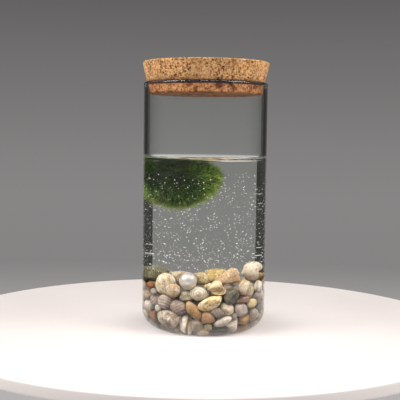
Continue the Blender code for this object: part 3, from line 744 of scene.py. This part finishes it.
def scatterSeeds(hulls):  # middles and sizes of the small stones, biggest first
    rng = np.random.default_rng(gravel["seed"])
    count = gravel["tries"]
    radius = innerRadius * np.sqrt(rng.uniform(0, 1, count))
    turn = rng.uniform(0, math.tau, count)
    height = rng.uniform(jar["base"], gravelHigh.z, count)
    points = np.stack([radius * np.cos(turn), radius * np.sin(turn), height], 1)
    rooms = jarFlats(points)[1].min(1)
    under = gravelTop(points[:, 1]) - points[:, 2]
    clear = np.full(count, 1.0)
    for normals, offsets in hulls:
        clear = np.minimum(clear, (points @ normals.T - offsets).max(1))
    out = points / np.maximum(radius, 1e-6)[:, None] * (1, 1, 0)
    for deeper in (2.0 * mm, 4.0 * mm, 6.0 * mm):  # nothing lies between a named stone and the glass
        behind = points - out * deeper
        for normals, offsets in hulls:
            clear[(behind @ normals.T - offsets).max(1) < 0] = 0.0
    shown = (rooms < gravel["wallDepth"]) | ((under < gravel["topDepth"]) & (under > 0))
    found, sizes = np.zeros((0, 3)), np.zeros(0)
    for size in gravel["sizes"]:
        reach = size * mm
        fits = shown & (rooms > 0.75 * reach) & (clear > 0.72 * reach) & (under > 0.5 * reach)
        near = rooms[fits] < 1.3 * reach
        order = np.concatenate([np.flatnonzero(fits)[near], np.flatnonzero(fits)[~near]])
        for index in order:
            apart = np.linalg.norm(found - points[index], axis=1)
            if (apart < gravel["crowding"] * (sizes + reach)).any():
                continue
            found = np.vstack([found, points[index]])
            sizes = np.append(sizes, reach)
    return found, sizes


def gravelFinish():
    finish, tree, shader = newFinish("mixed_gravel", Roughness=0.55, Specular_IOR_Level=0.1)
    where = place(tree)
    pick = addNode(tree, "Attribute", attribute_name="pick").outputs["Fac"]
    count = len(gravel["colours"])
    steps = [(i / count, shade(*colour)) for i, colour in enumerate(gravel["colours"])]
    base = ramp(tree, pick, steps, steps=True)
    cloud = ramp(tree, patches(tree, where, 3 * mm, 4.0, 0.5), [(0.35, 0.68), (0.65, 1.0)])
    grain = patches(tree, where, 0.45 * mm, 5.0)
    colour = mixed(tree, 1.0, base, cloud, "MULTIPLY")
    colour = mixed(tree, 1.0, colour, ramp(tree, grain, [(0.3, 0.7), (0.7, 1.3)]), "MULTIPLY")
    tree.links.new(colour, shader.inputs["Base Color"])
    relief(tree, shader, grain, 0.55, 0.25 * mm)
    return finish


def buildGravel():
    hulls = [hullOf(name) for name in list(stones) + list(shells) + ["pearl_bead"]]
    found, sizes = scatterSeeds(hulls)
    ways, rooms = jarFlats(found)
    rng = np.random.default_rng(gravel["seed"] + 1)
    stonesMade, picks = [], []
    for index, (centre, size) in enumerate(zip(found, sizes)):
        normals, offsets = list(ways[index]), list(rooms[index])
        away = found - centre
        apart = np.linalg.norm(away, axis=1)
        for other in np.flatnonzero((apart > 0) & (apart < 2.4 * (sizes + size))):
            normals.append(away[other] / apart[other])
            offsets.append(apart[other] * size / (size + sizes[other]) - 0.05 * mm)
        for faces, heights in hulls:
            spans = faces @ centre - heights
            face = spans.argmax()
            if spans[face] < 3 * size:
                normals.append(-faces[face])
                offsets.append(spans[face] - 0.15 * mm)
        normals, offsets = np.array(normals), np.maximum(np.array(offsets), 0.2 * mm)
        spread = rng.normal(size=(3, 3))
        axes = np.linalg.qr(spread)[0]
        stretch = size * rng.uniform(0.8, 1.35, 3)
        bm = bmesh.new()
        bmesh.ops.create_icosphere(bm, subdivisions=3 if size > 2 * mm else 2, radius=1.0)
        rays = np.array([vert.co.normalized() for vert in bm.verts])
        egg = 1 / np.linalg.norm((rays @ axes) / stretch, axis=1)
        away = np.clip(rays @ normals.T, 1e-6, None)
        reach = np.minimum((offsets / away).min(1), egg)
        for vert, point in zip(bm.verts, rays * reach[:, None] + centre):
            vert.co = point
        for _ in range(2):
            soften(bm)
        stonesMade.append(bm)
        picks += [rng.uniform(0, 0.999)] * len(bm.verts)
    bm = joined(stonesMade)
    layer = bm.verts.layers.float.new("pick")
    for vert, pick in zip(bm.verts, picks):
        vert[layer] = pick
    print("small stones:", len(found), "faces:", len(bm.faces))
    makePiece("mixed_gravel", bm, gravelFinish(), ["gravel_bed"])


shells = {
    "limpet_shell": {"main": (222, 210, 192), "second": (180, 164, 140), "ring": 1.25},
    "whelk_shell": {"main": (218, 196, 162), "second": (188, 158, 112), "ring": 1.6},
    "turban_shell": {"main": (220, 210, 198), "second": (198, 182, 160), "spot": (176, 128, 84), "ring": 2.6},
    "clam_shell": {"main": (206, 188, 162), "second": (150, 126, 98), "ring": 1.0},
    "oyster_chip": {"main": (238, 230, 218), "second": (204, 190, 168), "ring": 1.5},
}
# azimuth of the glass that each shell faces, in degrees from the front
towardsWall = {"limpet_shell": -5, "whelk_shell": 12, "turban_shell": 2, "clam_shell": 60, "oyster_chip": 75}


def shellFinish(name):
    style = shells[name]
    finish, tree, shader = newFinish(name + "_nacre", Roughness=0.4, Specular_IOR_Level=0.2)
    shader.inputs["Subsurface Weight"].default_value = 0.15
    shader.inputs["Subsurface Radius"].default_value = (1.0, 0.8, 0.6)
    shader.inputs["Subsurface Scale"].default_value = 1 * mm
    where = place(tree)
    low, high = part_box(name)
    middle = (low + high) / 2
    centred = addNode(tree, "Mapping", {"Vector": where, "Location": tuple(-middle)}).outputs[0]
    rings = addNode(tree, "TexWave", {
        "Vector": centred, "Scale": waveScale / (style["ring"] * mm), "Distortion": 1.5, "Detail": 2.0,
    }, wave_type="RINGS", rings_direction="SPHERICAL").outputs["Fac"]
    rings = ramp(tree, rings, [(0.3, 0.0), (0.8, 0.8)])
    colour = mixed(tree, rings, shade(*style["main"]), shade(*style["second"]))
    if "spot" in style:
        dots = ramp(tree, patches(tree, where, 2.4 * mm, 2.0, 0.3, 0.4), [(0.56, 0.0), (0.64, 1.0)])
        colour = mixed(tree, dots, colour, shade(*style["spot"]))
    grain = patches(tree, where, 0.5 * mm, 4.0)
    colour = mixed(tree, 1.0, colour, ramp(tree, grain, [(0.25, 0.8), (0.7, 1.0)]), "MULTIPLY")
    tree.links.new(colour, shader.inputs["Base Color"])
    relief(tree, shader, grain, 0.25, 0.1 * mm)
    return finish


def facing(name, tilt=0):  # turns a shell's own axes to across, outwards and up where it lies
    turn = Matrix.Rotation(math.radians(towardsWall[name]), 4, "Z")
    return turn @ Matrix.Rotation(-math.radians(tilt), 4, "Y")


def finishShell(name, bm, turn):
    bmesh.ops.transform(bm, verts=bm.verts, matrix=turn)
    bmesh.ops.recalc_face_normals(bm, faces=bm.faces)
    low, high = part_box(name)
    fitBox(bm, low, high)
    makePiece(name + "_detail", bm, shellFinish(name), [name])


# tube and offset are the first ring's radius and distance, in a spiral's own units; drop makes it pointed
coils = {
    "whelk_shell": {"turns": 3, "growth": 1.9, "tube": 0.62, "offset": 0.5, "drop": 1.5},
    "turban_shell": {"turns": 4.0, "growth": 1.7, "tube": 0.56, "offset": 0.55, "drop": 0.85},
}
coilSides, stepsPerTurn = 22, 26


def coiled(turns, growth, tube, offset, drop):  # a ring of edges carried round and grown, as a snail builds
    bm = bmesh.new()
    ring = bmesh.ops.create_circle(bm, cap_ends=True, segments=coilSides, radius=tube)["verts"]
    bmesh.ops.rotate(bm, verts=ring, cent=(0, 0, 0), matrix=Matrix.Rotation(math.pi / 2, 3, "X"))
    bmesh.ops.translate(bm, verts=ring, vec=(offset, 0, -drop))
    edges = list(bm.edges)
    steps = round(turns * stepsPerTurn)
    scale = growth ** (1 / stepsPerTurn)
    spin = Matrix.Rotation(math.tau / stepsPerTurn, 3, "Z")
    for _ in range(steps):
        grown = bmesh.ops.extrude_edge_only(bm, edges=edges)["geom"]
        fresh = [item for item in grown if isinstance(item, bmesh.types.BMVert)]
        edges = [item for item in grown if isinstance(item, bmesh.types.BMEdge)]
        bmesh.ops.rotate(bm, verts=fresh, cent=(0, 0, 0), matrix=spin)
        bmesh.ops.scale(bm, verts=fresh, vec=(scale, scale, scale))
    for share, back in ((0.84, 0.0), (0.8, 0.35), (0.7, 0.8)):  # a lip, and a dark mouth behind it
        grown = bmesh.ops.extrude_edge_only(bm, edges=edges)["geom"]
        fresh = [item for item in grown if isinstance(item, bmesh.types.BMVert)]
        edges = [item for item in grown if isinstance(item, bmesh.types.BMEdge)]
        middle = sum((vert.co for vert in fresh), Vector()) / len(fresh)
        bmesh.ops.translate(bm, verts=fresh, vec=-middle)
        bmesh.ops.scale(bm, verts=fresh, vec=(share, share, share))
        bmesh.ops.translate(bm, verts=fresh, vec=middle)
        bmesh.ops.rotate(bm, verts=fresh, cent=(0, 0, 0), matrix=Matrix.Rotation(-back * 0.5, 3, "Z"))
    bmesh.ops.contextual_create(bm, geom=edges)
    return bm


laidDown = Matrix.Rotation(-math.pi / 2, 4, "Y")  # a coil's tip points to the left


def buildWhelk():  # lies with its tip to the left and its mouth outwards
    bm = coiled(**coils["whelk_shell"])
    turn = facing("whelk_shell", -12) @ laidDown @ Matrix.Rotation(math.pi, 4, "Z")
    finishShell("whelk_shell", bm, turn)


def buildTurban():
    bm = coiled(**coils["turban_shell"])
    turn = facing("turban_shell", 12) @ laidDown @ Matrix.Rotation(math.radians(60), 4, "Z")
    finishShell("turban_shell", bm, turn)


def buildLimpet():
    line = [(0, 1.0)]
    for step in range(1, 41):
        out = step / 40
        line.append((out, 1.0 - 0.9 * out ** 1.4 + 0.035 * math.sin(out * 34)))
    line += [(0.97, 0.02), (0.8, 0.16), (0.5, 0.45), (0, 0.72)]
    bm = turned(line, 56)
    for vert in bm.verts:
        turn = math.atan2(vert.co.y, vert.co.x)
        uneven = 0.05 * noise.noise(Vector((math.cos(turn), math.sin(turn), 0)) * 2)
        vert.co.xy *= 1 + uneven + 0.012 * math.cos(turn * 24)
    finishShell("limpet_shell", bm, facing("limpet_shell") @ Matrix.Rotation(math.pi / 2, 4, "X"))


def valve(ribs, depth):  # one half of a clam: a ribbed fan, hollow inside
    bm = bmesh.new()
    bmesh.ops.create_uvsphere(bm, u_segments=96, v_segments=48, radius=1.0)
    bmesh.ops.bisect_plane(bm, geom=bm.verts[:] + bm.edges[:] + bm.faces[:], dist=1e-5, plane_co=(0, 0, 0),
                           plane_no=(0, 0, 1), clear_inner=True)
    bmesh.ops.solidify(bm, geom=bm.faces[:], thickness=0.09)
    for vert in bm.verts:
        turn = math.atan2(vert.co.x, vert.co.y + 0.8)
        out = vert.co.xy.length
        rib = 1 + 0.025 * out * math.cos(turn * ribs) + 0.012 * math.sin(out * 26)
        vert.co = Vector((vert.co.x * (1 + 0.15 * vert.co.y), vert.co.y, vert.co.z * depth)) * rib
    return bm


def buildClam():
    turn = facing("clam_shell") @ Matrix.Rotation(math.pi / 2, 4, "X")
    finishShell("clam_shell", valve(26, 0.85), turn)


def buildOyster():
    bm = valve(9, 0.8)
    for vert in bm.verts:
        vert.co += Vector((0.1, 0.1, 0.12)) * noise.noise(vert.co * 2.4)
    finishShell("oyster_chip", bm, facing("oyster_chip") @ Matrix.Rotation(math.pi / 2, 4, "X"))


pearl = {
    "hole": 0.45 * mm, "leanTo": (35, 20, 0), "light": (238, 232, 226), "dim": (214, 208, 204),
}


def buildPearl():
    low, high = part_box("pearl_bead")
    radius = (high.x - low.x) / 2
    start = math.degrees(math.asin(pearl["hole"] / radius))
    outside = arc((0, 0), radius, 90 - start, start - 90, 40)
    bm = turned([(pearl["hole"] * 0.8, -radius * 0.9), (pearl["hole"] * 0.8, radius * 0.9)] + outside
                + [(pearl["hole"] * 0.8, -radius * 0.9)], 64)
    lean = [math.radians(angle) for angle in pearl["leanTo"]]
    for number, axis in enumerate("XYZ"):
        bmesh.ops.rotate(bm, verts=bm.verts, matrix=Matrix.Rotation(lean[number], 3, axis))
    bmesh.ops.translate(bm, verts=bm.verts, vec=(low + high) / 2)
    finish, tree, shader = newFinish(
        "pearl_lustre", Roughness=0.3, Metallic=0.65, Coat_Weight=0.5, Coat_Roughness=0.16,
    )
    shader.inputs["Subsurface Weight"].default_value = 0.1
    shader.inputs["Subsurface Radius"].default_value = (1.0, 0.9, 0.8)
    shader.inputs["Subsurface Scale"].default_value = 1 * mm
    where = place(tree)
    bands = patches(tree, where, 5 * mm, 2.0, 1.0)
    colour = mixed(tree, bands, shade(*pearl["light"]), shade(*pearl["dim"]))
    tree.links.new(colour, shader.inputs["Base Color"])
    makePiece("pearl_bead_detail", bm, finish, ["pearl_bead"])


bubbles = {
    "count": 2400, "low": 40 * mm, "high": 101 * mm, "size": (0.13 * mm, 0.34 * mm), "seed": 23,
    "colour": (206, 208, 202),
}


# the bubbles are painted white, up to pure white in patches: a painted glint standing for the light that air
# bubbles on the glass send back
def dotFinish(name, colour):
    finish, tree, shader = newFinish(name, Roughness=0.1, Specular_IOR_Level=0.6)
    mottle = patches(tree, place(tree), 2 * mm)
    tree.links.new(mixed(tree, mottle, shade(*colour), shade(255, 255, 255)), shader.inputs["Base Color"])
    return finish


def ball(middle, radius):
    bm = bmesh.new()
    bmesh.ops.create_uvsphere(bm, u_segments=8, v_segments=5, radius=radius)
    bmesh.ops.translate(bm, verts=bm.verts, vec=middle)
    return bm


def buildBubbles():
    rng = np.random.default_rng(bubbles["seed"])
    made = []
    for _ in range(bubbles["count"]):
        height = bubbles["low"] + (bubbles["high"] - bubbles["low"]) * rng.uniform() ** 1.5
        radius = bubbles["size"][0] + (bubbles["size"][1] - bubbles["size"][0]) * rng.uniform() ** 2.5
        turn = rng.uniform(0, math.tau)
        out = innerRadius - radius
        made.append(ball((out * math.sin(turn), -out * math.cos(turn), height), radius))
    makePiece("wall_bubbles", joined(made), dotFinish("bubble_painted_glint", bubbles["colour"]))


setCamera()
addSoftboxes()
paintStudio()
layTurntable()
hangCards()
print("camera, light and table are in place")
buildJar()
buildWater()
buildCork()
print("jar, water and cork are built")
buildMoss()
print("moss ball is built")
buildStones()
print("stones are built:", len(stones))
buildGravel()
buildPearl()
buildLimpet()
buildWhelk()
buildTurban()
buildClam()
buildOyster()
print("pearl and shells are built")
buildBubbles()
print("bubbles are built")

bpy.context.scene.view_settings.view_transform = "Standard"
bpy.context.view_layer.update()
